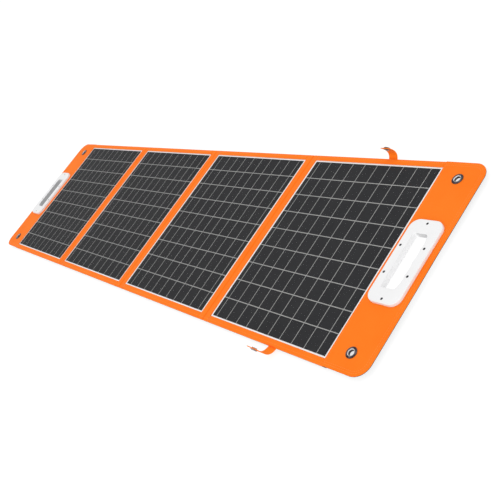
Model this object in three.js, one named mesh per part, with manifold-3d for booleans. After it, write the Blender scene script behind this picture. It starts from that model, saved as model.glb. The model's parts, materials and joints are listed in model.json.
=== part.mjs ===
// Folding four-panel solar charger: four stiff cell boards sewn into one fabric body, an end flap with a
// screwed carrying handle at each end, metal grommets, two closure straps and an output box.
// Millimetres, +X along the unfolded length, +Y across it, +Z up from the ground to the cell side.
import * as THREE from "three";
import { mergeVertices } from "three/addons/utils/BufferGeometryUtils.js";
import Module from "manifold-3d";

const wasm = await Module();
wasm.setup();

// Layout across the ground
const PANEL_COUNT = 4;
const PANEL_PITCH = 353;
const BODY_DEPTH = 400;
const FOLD_SLIT = 1;
const FLAP_REACH = 248.5; // from an end panel's centre to the flap's free edge
const FLAP_INNER = 166;
const FLAP_CORNER = 27;
const BOARD = { width: 328, depth: 390 };
const BACKSHEET = { width: 326, depth: 380 };
const WINDOW = { width: 321, depth: 375, corner: 0.8 };
const CELL_FIELD = { width: 313, depth: 367 };
const FILM_GAP = 0.3;

// Layers, measured up from the rear face of the boards
const FABRIC = 1;
const LAYER_GAP = 0.1;
const BOARD_THICKNESS = 3;
const BACKSHEET_THICKNESS = 0.6;
const CELL_THICKNESS = 0.5;
const FILM_THICKNESS = 0.4;
const BOARD_Z = FABRIC + LAYER_GAP;
const BACKSHEET_Z = BOARD_Z + BOARD_THICKNESS + LAYER_GAP;
const CELL_Z = BACKSHEET_Z + BACKSHEET_THICKNESS + LAYER_GAP;
const FILM_Z = CELL_Z + CELL_THICKNESS + LAYER_GAP;
const FRONT_Z = 6.1;
const FLAP_REAR_Z = FRONT_Z - 2 * FABRIC - LAYER_GAP;

// Carrying handle
const HANDLE = { x: 202.75, width: 66, depth: 158, corner: 17.5, front: 6.1, bevel: 1.6, rearBevel: 1.2 };
const HANDLE_WALL = 2.2;
const SLOT = { width: 32, depth: 104, innerCorner: 3.5, outerCorner: 9, scallop: 1.7, pitch: 24 };
const SLOT_CLEARANCE = 0.4; // the fabric stands this far back from the slot
const SCREW = { headRadius: 2.3, headHeight: 1.4, shaftRadius: 1.2, sunk: 0.6, tip: 1.4 };
const SCREW_PLACES = [
  [0, 71.5],
  [0, -71.5],
  [-26.5, 26],
  [-26.5, -26],
  [22, 26],
  [22, -26],
];
const BOSS_RADIUS = 3.4;
const COUNTERBORE_RADIUS = 2.6;
const CLEARANCE_RADIUS = 1.6;
const PILOT_RADIUS = 1.4;

// Grommets
const GROMMET = { x: 202.25, y: 165.5, bore: 4.7, barrel: 5.5, flange: 10, height: 1.4, washer: 1 };
const GROMMET_HOLE = 5.8;

// Closure straps, centred beside the middle of an end panel's cell field
const STRAP = { x: 35, width: 20, thickness: 1.5, stand: 1.5, z: 1, snapAt: 0.8 };
const FAR_STRAP_LINE = [[0, 0], [4.8, 4.4], [7.4, 10], [7, 17.5], [3.6, 26], [0, 32]];
const NEAR_STRAP_LINE = [[0, 0], [6, 1.6], [12, 5], [16.5, 12], [19.5, 25], [22.5, 39.5]];
const SNAP = { capRadius: 6.3, cap: 1.6, neck: 1.6, socketRadius: 4.6, socket: 1.3, hole: 2, gap: 0.35 };
const STUD = { y: 188, radius: 6, base: 0.6, post: 2.2, reach: 2 };

// Output box under the left end flap
const BOX = { x: 202, y: 118, width: 46, depth: 60, corner: 5, wall: 1.2, low: -5.5, lid: 1 };
const DC = { y: 12, z: -0.95, radius: 3.3, bore: 2.85, pin: 1.05, length: 12, boreDepth: 9, pinLength: 8 };
const USB = { y: -14, z: -1.6, width: 9, height: 3.2, wall: 0.35, length: 7.5, boreDepth: 6.5 };
const USB_TONGUE = { length: 5, width: 6.4, thickness: 0.7 };
const ROOT = 0.5; // how far a pin or tongue is sunk into the back of its socket
const PORT_GAP = 0.2;
const PORT_PROUD = 0.2;

const CURVE_STEPS = 4;
const ROUND_STEPS = 20;
const SCREW_SIDES = 10;
const SNAP_HOLE_SIDES = 12;
const STUD_SIDES = 16;
const PAST = 2; // how far a cutting solid runs past the face it cuts

const FINISHES = {
  orangeFabric: { color: 0xff7a14, roughness: 0.7, metalness: 0 },
  darkFabric: { color: 0x2b2c2e, roughness: 0.85, metalness: 0 },
  core: { color: 0x8d8a84, roughness: 0.8, metalness: 0 },
  backsheet: { color: 0xf7f8f8, roughness: 0.45, metalness: 0 },
  cells: { color: 0x36373a, roughness: 0.4, metalness: 0.1 },
  film: { color: 0xffffff, roughness: 0.2, metalness: 0 },
  handle: { color: 0xf5f5f6, roughness: 0.3, metalness: 0 },
  screw: { color: 0x4a4a50, roughness: 0.35, metalness: 0.9 },
  nickel: { color: 0xc9c9cc, roughness: 0.25, metalness: 1 },
  box: { color: 0x1e1f21, roughness: 0.5, metalness: 0 },
};

function toSolid(geometry) {
  const bare = geometry.clone();
  bare.deleteAttribute("normal");
  bare.deleteAttribute("uv");
  const merged = mergeVertices(bare, 1e-4);
  const triVerts = new Uint32Array(merged.index.array);
  return new wasm.Manifold(
    new wasm.Mesh({ numProp: 3, vertProperties: merged.attributes.position.array, triVerts }),
  );
}

function toGeometry(solid) {
  const mesh = solid.getMesh();
  const geometry = new THREE.BufferGeometry();
  geometry.setAttribute("position", new THREE.BufferAttribute(mesh.vertProperties, 3));
  geometry.setIndex(new THREE.BufferAttribute(mesh.triVerts, 1));
  const flat = geometry.toNonIndexed();
  flat.computeVertexNormals();
  return flat;
}

function roundedRectangle(x, y, width, depth, radius) {
  const left = x - width / 2;
  const right = x + width / 2;
  const low = y - depth / 2;
  const high = y + depth / 2;
  const shape = new THREE.Shape();
  shape.moveTo(left + radius, low);
  shape.lineTo(right - radius, low);
  shape.absarc(right - radius, low + radius, radius, -Math.PI / 2, 0, false);
  shape.lineTo(right, high - radius);
  shape.absarc(right - radius, high - radius, radius, 0, Math.PI / 2, false);
  shape.lineTo(left + radius, high);
  shape.absarc(left + radius, high - radius, radius, Math.PI / 2, Math.PI, false);
  shape.lineTo(left, low + radius);
  shape.absarc(left + radius, low + radius, radius, Math.PI, 1.5 * Math.PI, false);
  return shape;
}

function rectangle(left, right, low, high) {
  return new THREE.Shape([
    new THREE.Vector2(left, low),
    new THREE.Vector2(right, low),
    new THREE.Vector2(right, high),
    new THREE.Vector2(left, high),
  ]);
}

function circle(x, y, radius) {
  return new THREE.Shape().absarc(x, y, radius, 0, 2 * Math.PI, false);
}

// Extrudes an outline from one height to another.
function slab(shape, low, high, steps = CURVE_STEPS) {
  const geometry = new THREE.ExtrudeGeometry(shape, {
    depth: high - low,
    bevelEnabled: false,
    curveSegments: steps,
  });
  return geometry.translate(0, 0, low);
}

function box(left, right, low, high, bottom, top) {
  return slab(rectangle(left, right, low, high), bottom, top);
}

function rod(x, y, radius, bottom, top, sides = 10) {
  const geometry = new THREE.CylinderGeometry(radius, radius, top - bottom, sides);
  return geometry.rotateX(Math.PI / 2).translate(x, y, (bottom + top) / 2);
}

// Turns a closed profile of [radius, height] points about the Z axis.
function turned(profile, steps = ROUND_STEPS) {
  const points = profile.map(([radius, height]) => new THREE.Vector2(radius, height));
  return new THREE.LatheGeometry(points, steps).rotateX(Math.PI / 2);
}

function piece(name, geometry, finish) {
  const mesh = new THREE.Mesh(geometry, new THREE.MeshStandardMaterial(FINISHES[finish]));
  mesh.name = name;
  return mesh;
}

// The finger slot: a straight side towards the panel, finger scallops on the outer side.
function slotOutline(grow = 0) {
  const inner = -SLOT.width / 2 - grow;
  const outer = SLOT.width / 2 - SLOT.scallop + grow;
  const end = SLOT.depth / 2 + grow;
  const small = SLOT.innerCorner + grow;
  const large = SLOT.outerCorner + grow;
  const shape = new THREE.Shape();
  shape.moveTo(inner + small, -end);
  shape.lineTo(outer - large, -end);
  shape.quadraticCurveTo(outer, -end, outer, -end + large);
  const cusps = [-end + large, -SLOT.pitch, 0, SLOT.pitch, end - large];
  cusps.slice(1).forEach((next, index) => {
    const middle = (cusps[index] + next) / 2;
    shape.quadraticCurveTo(outer + 2 * SLOT.scallop, middle, outer, next);
  });
  shape.quadraticCurveTo(outer, end, outer - large, end);
  shape.lineTo(inner + small, end);
  shape.quadraticCurveTo(inner, end, inner, end - small);
  shape.lineTo(inner, -end + small);
  shape.quadraticCurveTo(inner, -end, inner + small, -end);
  return shape;
}

// Cuts the slot, the screw holes and the grommet holes through a flap layer.
function cutFlapHoles(solid, bottom, top) {
  const slot = slab(slotOutline(SLOT_CLEARANCE), bottom - PAST, top + PAST).translate(HANDLE.x, 0, 0);
  let cut = solid.subtract(toSolid(slot));
  for (const [x, y] of SCREW_PLACES) {
    cut = cut.subtract(toSolid(rod(HANDLE.x + x, y, CLEARANCE_RADIUS, bottom - PAST, top + PAST)));
  }
  for (const side of [-1, 1]) {
    const hole = rod(GROMMET.x, side * GROMMET.y, GROMMET_HOLE, bottom - PAST, top + PAST, ROUND_STEPS);
    cut = cut.subtract(toSolid(hole));
  }
  return cut;
}

// The outline of an end panel's fabric, with the flap's two rounded corners.
function endOutline(inner) {
  const edge = BODY_DEPTH / 2;
  const shape = new THREE.Shape();
  shape.moveTo(inner, -edge);
  shape.lineTo(FLAP_REACH - FLAP_CORNER, -edge);
  shape.absarc(FLAP_REACH - FLAP_CORNER, -edge + FLAP_CORNER, FLAP_CORNER, -Math.PI / 2, 0, false);
  shape.lineTo(FLAP_REACH, edge - FLAP_CORNER);
  shape.absarc(FLAP_REACH - FLAP_CORNER, edge - FLAP_CORNER, FLAP_CORNER, 0, Math.PI / 2, false);
  shape.lineTo(inner, edge);
  return shape;
}

// Front fabric with its window, and the hems that wrap down both long edges to the rear fabric.
function frontCover(isEnd) {
  const fold = PANEL_PITCH / 2 - FOLD_SLIT / 2;
  const edge = BODY_DEPTH / 2;
  const low = FRONT_Z - FABRIC;
  const outline = isEnd ? endOutline(-fold) : rectangle(-fold, fold, -edge, edge);
  outline.holes.push(roundedRectangle(0, 0, WINDOW.width, WINDOW.depth, WINDOW.corner));
  let solid = toSolid(slab(outline, low, FRONT_Z));
  const hemEnd = isEnd ? FLAP_INNER - 1 : fold;
  for (const side of [-1, 1]) {
    const near = side * edge;
    const far = side * (edge - FABRIC);
    const hem = box(-fold, hemEnd, Math.min(near, far), Math.max(near, far), FABRIC + LAYER_GAP, low + 0.5);
    solid = solid.add(toSolid(hem));
  }
  return toGeometry(isEnd ? cutFlapHoles(solid, low, FRONT_Z) : solid);
}

function rearCover(isEnd) {
  const fold = PANEL_PITCH / 2 - FOLD_SLIT / 2;
  const edge = BODY_DEPTH / 2;
  return box(-fold, isEnd ? FLAP_INNER - 1 : fold, -edge, edge, 0, FABRIC);
}

function flapRearCover() {
  const solid = toSolid(slab(endOutline(FLAP_INNER), FLAP_REAR_Z, FLAP_REAR_Z + FABRIC));
  return toGeometry(cutFlapHoles(solid, FLAP_REAR_Z, FLAP_REAR_Z + FABRIC));
}

function centredPlate(size, low, thickness) {
  return box(-size.width / 2, size.width / 2, -size.depth / 2, size.depth / 2, low, low + thickness);
}

// One handle half: a bevelled plate round the slot, with only its outer edges bevelled.
function handleBlank(bottom, top, bevel, bevelUp) {
  const inset = 2 * bevel;
  const shape = roundedRectangle(0, 0, HANDLE.width - inset, HANDLE.depth - inset, HANDLE.corner - bevel);
  shape.holes.push(slotOutline(bevel));
  const geometry = new THREE.ExtrudeGeometry(shape, {
    depth: top - bottom,
    bevelEnabled: true,
    bevelThickness: bevel,
    bevelSize: bevel,
    bevelSegments: 2,
    curveSegments: CURVE_STEPS,
  });
  geometry.translate(0, 0, bevelUp ? bottom - bevel : bottom + bevel);
  const keep = box(-HANDLE.width, HANDLE.width, -HANDLE.depth, HANDLE.depth, bottom, top);
  return toSolid(geometry).intersect(toSolid(keep));
}

function handleFront() {
  const bottom = FRONT_Z + LAYER_GAP;
  const top = bottom + HANDLE.front;
  const roof = top - HANDLE_WALL;
  const inset = 2 * HANDLE_WALL;
  const cavityShape = roundedRectangle(
    0, 0, HANDLE.width - inset, HANDLE.depth - inset, HANDLE.corner - HANDLE_WALL,
  );
  cavityShape.holes.push(slotOutline(HANDLE_WALL));
  let cavity = toSolid(slab(cavityShape, bottom - PAST, roof));
  for (const [x, y] of SCREW_PLACES) {
    cavity = cavity.subtract(toSolid(rod(x, y, BOSS_RADIUS, bottom - 2 * PAST, top)));
  }
  let solid = handleBlank(bottom, top, HANDLE.bevel, true).subtract(cavity);
  for (const [x, y] of SCREW_PLACES) {
    const seat = top - SCREW.sunk - SCREW.headHeight - LAYER_GAP;
    solid = solid.subtract(toSolid(rod(x, y, CLEARANCE_RADIUS, bottom - PAST, top + PAST)));
    solid = solid.subtract(toSolid(rod(x, y, COUNTERBORE_RADIUS, seat, top + PAST)));
  }
  return toGeometry(solid);
}

function handleRear() {
  const top = FLAP_REAR_Z - LAYER_GAP;
  let solid = handleBlank(0, top, HANDLE.rearBevel, false);
  for (const [x, y] of SCREW_PLACES) {
    solid = solid.subtract(toSolid(rod(x, y, PILOT_RADIUS, SCREW.tip - 0.3, top + PAST)));
  }
  return toGeometry(solid);
}

// A pan-head screw with a cross recess, standing head up.
function handleScrew() {
  const top = FRONT_Z + LAYER_GAP + HANDLE.front - SCREW.sunk;
  const neck = top - SCREW.headHeight;
  const profile = [
    [0, SCREW.tip],
    [SCREW.shaftRadius, SCREW.tip],
    [SCREW.shaftRadius, neck],
    [SCREW.headRadius, neck],
    [SCREW.headRadius, top - 0.4],
    [SCREW.headRadius - 0.5, top],
    [0, top],
  ];
  let solid = toSolid(turned(profile, SCREW_SIDES));
  const arm = 1.4;
  const half = 0.32;
  solid = solid.subtract(toSolid(box(-arm, arm, -half, half, top - 0.8, top + PAST)));
  solid = solid.subtract(toSolid(box(-half, half, -arm, arm, top - 0.8, top + PAST)));
  return toGeometry(solid);
}

// Grommet face: a barrel through both fabrics with a rolled rim on top.
function grommetEyelet() {
  const low = FLAP_REAR_Z - LAYER_GAP - GROMMET.washer;
  const seat = FRONT_Z + LAYER_GAP;
  const crown = seat + GROMMET.height;
  return turned([
    [GROMMET.bore, low],
    [GROMMET.barrel, low],
    [GROMMET.barrel, seat],
    [GROMMET.flange, seat],
    [GROMMET.flange - 0.2, seat + 0.6],
    [GROMMET.flange - 1.1, seat + 1.1],
    [GROMMET.flange - 2.6, crown],
    [GROMMET.barrel + 0.9, seat + 1.2],
    [GROMMET.barrel - 0.2, seat + 0.6],
    [GROMMET.bore, seat - 0.4],
    [GROMMET.bore, low],
  ]);
}

function grommetWasher() {
  const high = FLAP_REAR_Z - LAYER_GAP;
  const low = high - GROMMET.washer;
  return turned([
    [GROMMET_HOLE, low],
    [GROMMET.flange - 0.5, low],
    [GROMMET.flange, low + 0.5],
    [GROMMET.flange, high],
    [GROMMET_HOLE, high],
    [GROMMET_HOLE, low],
  ]);
}

// A strap's centre line in its own plane: outwards from the panel edge, then up.
function strapCurve(line) {
  return new THREE.CatmullRomCurve3(line.map(([out, up]) => new THREE.Vector3(0, out, up)));
}

function strapFrame(line, at) {
  const curve = strapCurve(line);
  const tangent = curve.getTangentAt(at);
  return { point: curve.getPointAt(at), angle: Math.atan2(tangent.z, tangent.y) };
}

// The webbing: the centre line thickened both ways and extruded across its width.
function strapBand(line) {
  const steps = 14;
  const sides = [[], []];
  for (let step = 0; step <= steps; step += 1) {
    const { point, angle } = strapFrame(line, step / steps);
    [-1, 1].forEach((side, index) => {
      const shift = (side * STRAP.thickness) / 2;
      sides[index].push(
        new THREE.Vector2(point.y + shift * Math.sin(angle), point.z - shift * Math.cos(angle)),
      );
    });
  }
  const shape = new THREE.Shape([...sides[1], ...sides[0].reverse()]);
  const band = new THREE.ExtrudeGeometry(shape, { depth: STRAP.width, bevelEnabled: false });
  const across = new THREE.Vector3(1, 0, 0);
  const out = new THREE.Vector3(0, 1, 0);
  const up = new THREE.Vector3(0, 0, 1);
  band.translate(0, 0, -STRAP.width / 2);
  band.applyMatrix4(new THREE.Matrix4().makeBasis(out, up, across));
  const hole = rod(0, 0, SNAP.hole, -PAST, PAST, SNAP_HOLE_SIDES);
  placeOnStrap(hole, line);
  return toGeometry(toSolid(band).subtract(toSolid(hole)));
}

// Turns a geometry whose axis is Z so that it stands square on the strap, near its tip.
function placeOnStrap(geometry, line) {
  const { point, angle } = strapFrame(line, STRAP.snapAt);
  geometry.rotateX(angle).translate(0, point.y, point.z);
}

// Press fastener through the strap: a domed cap outside, a socket ring inside.
function strapSnap(line) {
  const half = STRAP.thickness / 2 + SNAP.gap;
  const geometry = turned([
    [0, -half - SNAP.cap],
    [SNAP.capRadius - 2, -half - SNAP.cap],
    [SNAP.capRadius - 0.4, -half - SNAP.cap + 0.7],
    [SNAP.capRadius, -half],
    [SNAP.neck, -half],
    [SNAP.neck, half],
    [SNAP.socketRadius, half],
    [SNAP.socketRadius, half + SNAP.socket],
    [SNAP.socketRadius - 1.4, half + SNAP.socket],
    [SNAP.socketRadius - 1.9, half + 0.3],
    [0, half + 0.3],
  ], STUD_SIDES);
  placeOnStrap(geometry, line);
  return geometry;
}

// Press stud under the first panel, where the strap's socket closes on it.
function pressStud() {
  const seat = -LAYER_GAP;
  return turned([
    [0, -STUD.reach],
    [STUD.post - 0.4, -STUD.reach],
    [STUD.post, -STUD.reach + 0.5],
    [STUD.post - 0.3, seat - STUD.base],
    [STUD.radius - 0.3, seat - STUD.base],
    [STUD.radius, seat],
    [0, seat],
  ], STUD_SIDES);
}

function boxOutline(inset) {
  return roundedRectangle(BOX.x, BOX.y, BOX.width - 2 * inset, BOX.depth - 2 * inset, BOX.corner - inset);
}

function usbOutline(grow) {
  return roundedRectangle(0, 0, USB.width + 2 * grow, USB.height + 2 * grow, USB.height / 2 + grow - 0.05);
}

// Turns an outline drawn in a port's face, and its depth, to run back from the box's outer wall.
function alongPort(geometry, port) {
  const across = new THREE.Vector3(0, 1, 0);
  const up = new THREE.Vector3(0, 0, 1);
  const out = new THREE.Vector3(1, 0, 0);
  geometry.applyMatrix4(new THREE.Matrix4().makeBasis(across, up, out));
  const face = BOX.x + BOX.width / 2 + PORT_PROUD;
  return geometry.translate(face, BOX.y + port.y, port.z);
}

function boxLid() {
  const high = FLAP_REAR_Z - LAYER_GAP;
  return slab(boxOutline(0), high - BOX.lid, high);
}

function boxHousing() {
  const high = FLAP_REAR_Z - 2 * LAYER_GAP - BOX.lid;
  let solid = toSolid(slab(boxOutline(0), BOX.low, high));
  solid = solid.subtract(toSolid(slab(boxOutline(BOX.wall), BOX.low + BOX.wall, high + PAST)));
  const depth = BOX.wall + PORT_PROUD + PAST;
  const dcHole = alongPort(slab(circle(0, 0, DC.radius + PORT_GAP), -depth, PAST), DC);
  const usbHole = alongPort(slab(usbOutline(PORT_GAP), -depth, PAST), USB);
  return toGeometry(solid.subtract(toSolid(dcHole)).subtract(toSolid(usbHole)));
}

function dcSocket() {
  let solid = toSolid(slab(circle(0, 0, DC.radius), -DC.length, 0));
  solid = solid.subtract(toSolid(slab(circle(0, 0, DC.bore), -DC.boreDepth, PAST)));
  const pin = slab(circle(0, 0, DC.pin), -DC.boreDepth - ROOT, DC.pinLength - DC.boreDepth);
  return alongPort(toGeometry(solid.add(toSolid(pin))), DC);
}

function usbSocket() {
  let solid = toSolid(slab(usbOutline(0), -USB.length, 0));
  solid = solid.subtract(toSolid(slab(usbOutline(-USB.wall), -USB.boreDepth, PAST)));
  const across = USB_TONGUE.width / 2;
  const up = USB_TONGUE.thickness / 2;
  const tip = USB_TONGUE.length - USB.boreDepth;
  const tongue = box(-across, across, -up, up, -USB.boreDepth - ROOT, tip);
  return alongPort(toGeometry(solid.add(toSolid(tongue))), USB);
}

// The board and the laminate on it, with the fabric in front and behind.
function makePanel(number, isEnd) {
  const group = new THREE.Group();
  const name = `panel_${number}`;
  group.add(piece(`${name}_rear_cover`, rearCover(isEnd), "darkFabric"));
  group.add(piece(`${name}_board`, centredPlate(BOARD, BOARD_Z, BOARD_THICKNESS), "core"));
  group.add(piece(`${name}_backsheet`, centredPlate(BACKSHEET, BACKSHEET_Z, BACKSHEET_THICKNESS), "backsheet"));
  group.add(piece(`${name}_cells`, centredPlate(CELL_FIELD, CELL_Z, CELL_THICKNESS), "cells"));
  const filmSize = { width: WINDOW.width - 2 * FILM_GAP, depth: WINDOW.depth - 2 * FILM_GAP };
  group.add(piece(`${name}_film`, centredPlate(filmSize, FILM_Z, FILM_THICKNESS), "film"));
  group.add(piece(`${name}_front_cover`, frontCover(isEnd), "orangeFabric"));
  return group;
}

// Everything on an end flap, in the frame of its panel with the flap towards +X.
function addFlap(group, end) {
  group.add(piece(`${end}_flap_rear_cover`, flapRearCover(), "darkFabric"));
  const front = piece(`${end}_handle_front`, handleFront(), "handle");
  const rear = piece(`${end}_handle_rear`, handleRear(), "handle");
  for (const half of [front, rear]) {
    half.position.x = HANDLE.x;
    group.add(half);
  }
  SCREW_PLACES.forEach(([x, y], index) => {
    const screw = piece(`${end}_handle_screw_${index + 1}`, handleScrew(), "screw");
    screw.position.set(HANDLE.x + x, y, 0);
    group.add(screw);
  });
  [-1, 1].forEach((side, index) => {
    const eyelet = piece(`${end}_grommet_eyelet_${index + 1}`, grommetEyelet(), "nickel");
    const washer = piece(`${end}_grommet_washer_${index + 1}`, grommetWasher(), "nickel");
    for (const part of [eyelet, washer]) {
      part.position.set(GROMMET.x, side * GROMMET.y, 0);
      group.add(part);
    }
  });
}

function addOutputBox(group) {
  group.add(piece("output_box_housing", boxHousing(), "box"));
  group.add(piece("output_box_lid", boxLid(), "box"));
  group.add(piece("dc_socket", dcSocket(), "box"));
  group.add(piece("usb_socket", usbSocket(), "nickel"));
}

// A strap in its own frame: it leaves the panel along +Y; the near strap is turned half way round.
function makeStrap(side, line) {
  const group = new THREE.Group();
  group.add(piece(`${side}_strap`, strapBand(line), "orangeFabric"));
  group.add(piece(`${side}_strap_snap`, strapSnap(line), "nickel"));
  const isFar = side === "far";
  group.position.set(STRAP.x, (isFar ? 1 : -1) * (BODY_DEPTH / 2 + STRAP.stand), STRAP.z);
  group.rotation.z = isFar ? 0 : Math.PI;
  return group;
}

function addStuds(group) {
  [["far", -1], ["near", 1]].forEach(([side, sign]) => {
    const stud = piece(`${side}_press_stud`, pressStud(), "nickel");
    stud.position.set(STRAP.x, sign * STUD.y, 0);
    group.add(stud);
  });
}

function makeCharger() {
  const charger = new THREE.Group();
  for (let number = 1; number <= PANEL_COUNT; number += 1) {
    const isEnd = number === 1 || number === PANEL_COUNT;
    const panel = makePanel(number, isEnd);
    panel.position.x = (number - (PANEL_COUNT + 1) / 2) * PANEL_PITCH;
    if (number === 1) {
      panel.rotation.z = Math.PI; // the left flap points to -X
      addFlap(panel, "left");
      addOutputBox(panel);
      addStuds(panel);
    }
    if (number === PANEL_COUNT) {
      addFlap(panel, "right");
      panel.add(makeStrap("far", FAR_STRAP_LINE));
      panel.add(makeStrap("near", NEAR_STRAP_LINE));
    }
    charger.add(panel);
  }
  return charger;
}

// Origin: the middle of the whole footprint, at the lowest point.
function centreOnFootprint(charger) {
  const root = new THREE.Group();
  root.add(charger);
  const bounds = new THREE.Box3().setFromObject(root);
  const middle = bounds.getCenter(new THREE.Vector3());
  charger.position.set(-middle.x, -middle.y, -bounds.min.z);
  return root;
}

export default centreOnFootprint(makeCharger());
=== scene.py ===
"""Looks of the folding solar panel: sewn fabric, cells, handles, eyelets, straps and output box."""
import functools
import json
import math
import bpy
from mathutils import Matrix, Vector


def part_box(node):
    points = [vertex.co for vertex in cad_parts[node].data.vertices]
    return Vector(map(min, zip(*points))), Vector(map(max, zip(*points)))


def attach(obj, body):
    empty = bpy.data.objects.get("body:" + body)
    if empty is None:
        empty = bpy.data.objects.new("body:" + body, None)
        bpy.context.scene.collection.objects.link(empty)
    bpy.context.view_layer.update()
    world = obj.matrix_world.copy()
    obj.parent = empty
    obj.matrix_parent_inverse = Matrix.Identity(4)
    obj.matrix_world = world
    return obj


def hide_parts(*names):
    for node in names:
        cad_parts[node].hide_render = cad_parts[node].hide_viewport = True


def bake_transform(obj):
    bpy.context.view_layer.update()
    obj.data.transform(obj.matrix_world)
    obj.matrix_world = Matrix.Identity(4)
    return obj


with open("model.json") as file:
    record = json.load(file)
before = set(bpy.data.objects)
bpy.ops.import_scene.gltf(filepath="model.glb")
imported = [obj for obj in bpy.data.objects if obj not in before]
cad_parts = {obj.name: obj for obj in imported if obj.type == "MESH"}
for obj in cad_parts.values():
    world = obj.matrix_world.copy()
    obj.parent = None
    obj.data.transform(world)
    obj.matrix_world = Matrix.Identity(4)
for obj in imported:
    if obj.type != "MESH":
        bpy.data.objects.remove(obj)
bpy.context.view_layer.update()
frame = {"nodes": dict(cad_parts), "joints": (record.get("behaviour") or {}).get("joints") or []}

from types import SimpleNamespace

import bmesh
import bpy
from mathutils import Matrix, Vector
from mathutils.geometry import interpolate_bezier

box = functools.cache(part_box)
MM = 0.001

# Driving sizes, in metres, that the frame's boxes don't give
WINDOW_GAP = 0.3 * MM  # between the film and the fabric round it
CLOTH = 0.9 * MM
REAR_CLOTH = 0.9 * CLOTH
REAR_FOLD = 13 * MM  # half the width of the rear fabric that crosses a fold
RIM_SINK = 0.45 * MM  # how far the fabric rolls down at a window's edge
HEM_RADIUS = 1.5 * MM
BUSBAR_PITCH = 31.3 * MM
BUSBAR_WIDTH = 1.2 * MM
ROW_PITCH = 41 * MM
ROW_GAP = 1.6 * MM
COLUMN_GAP = 0.4 * MM
CELL_BASE = 0.2 * MM  # thickness of the dark sheet under the cells
ROWS = 9
BUSBARS = 10
FIRST_BUSBAR = {1: 20.4 * MM, 2: 14.1 * MM, 3: 20.4 * MM, 4: 14.1 * MM}
BORDER = 2 * MM  # from the cell field's edge to the middle of the white line round it
CELL_GROWTH = 1.0 * MM  # how much further the visible cell field runs along the long edges
STITCH = 3.4 * MM
STITCH_GAP = 1.1 * MM
SEAM_DIP = 0.14 * MM  # how far a seam pulls the hem down
THREAD = 0.28 * MM  # radius
THREAD_SIDES = 6
SLOT = SimpleNamespace(
    width=32 * MM,
    depth=104 * MM,
    inner=3.5 * MM,  # corner radius towards the panel
    outer=9 * MM,  # corner radius on the scalloped side
    scallop=1.7 * MM,
    pitch=24 * MM,
)
FLAP_CORNER = 27 * MM
FLAP_RIM = 0.7 * MM
FLAP_SEAMS = (4.6 * MM, 8.2 * MM)  # from the free edge
FLAP_STEP = 12 * MM  # length of the slope behind the flap, and of the waves' fading
HANDLE_CORNER = 17.5 * MM
CLOTH_HOLE_GAP = 2.4 * MM  # how far the fabrics stay back from the slot
EYE_HOLE = 5.8 * MM  # radius of the fabrics' holes under the eyelets
WINDOW_SEAM = 3.2 * MM  # from a window's side to the seam along it
REAR_SEAM = 4 * MM  # from a panel's edge to the seam of its rear fabric
CREASE_DEPTH = 2.2 * MM
CREASE_WIDTH = 1.4 * MM
BEND_REACH = 13 * MM  # how far from the fold line the fabric has stations for its bend
PRINTED_LINE_PITCH = 1.4 * MM
# Painted shade on the slot's walls: greys from its panel side to its scalloped side
SLOT_SHADE_TONES = [
    (0.1, (0.9, 0.9, 0.905)),
    (0.25, (0.64, 0.64, 0.645)),
    (0.8, (0.56, 0.56, 0.565)),
    (1.0, (0.3, 0.3, 0.305)),
]

PANELS = (1, 2, 3, 4)
FOLDS = ((1, 2), (2, 3), (3, 4))
ENDS = {"left": (1, -1), "right": (4, 1)}  # each end's panel, and the sign of its X


def middle_of(node):
    low, high = box(node)
    return (low + high) / 2


# ------ materials


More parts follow.
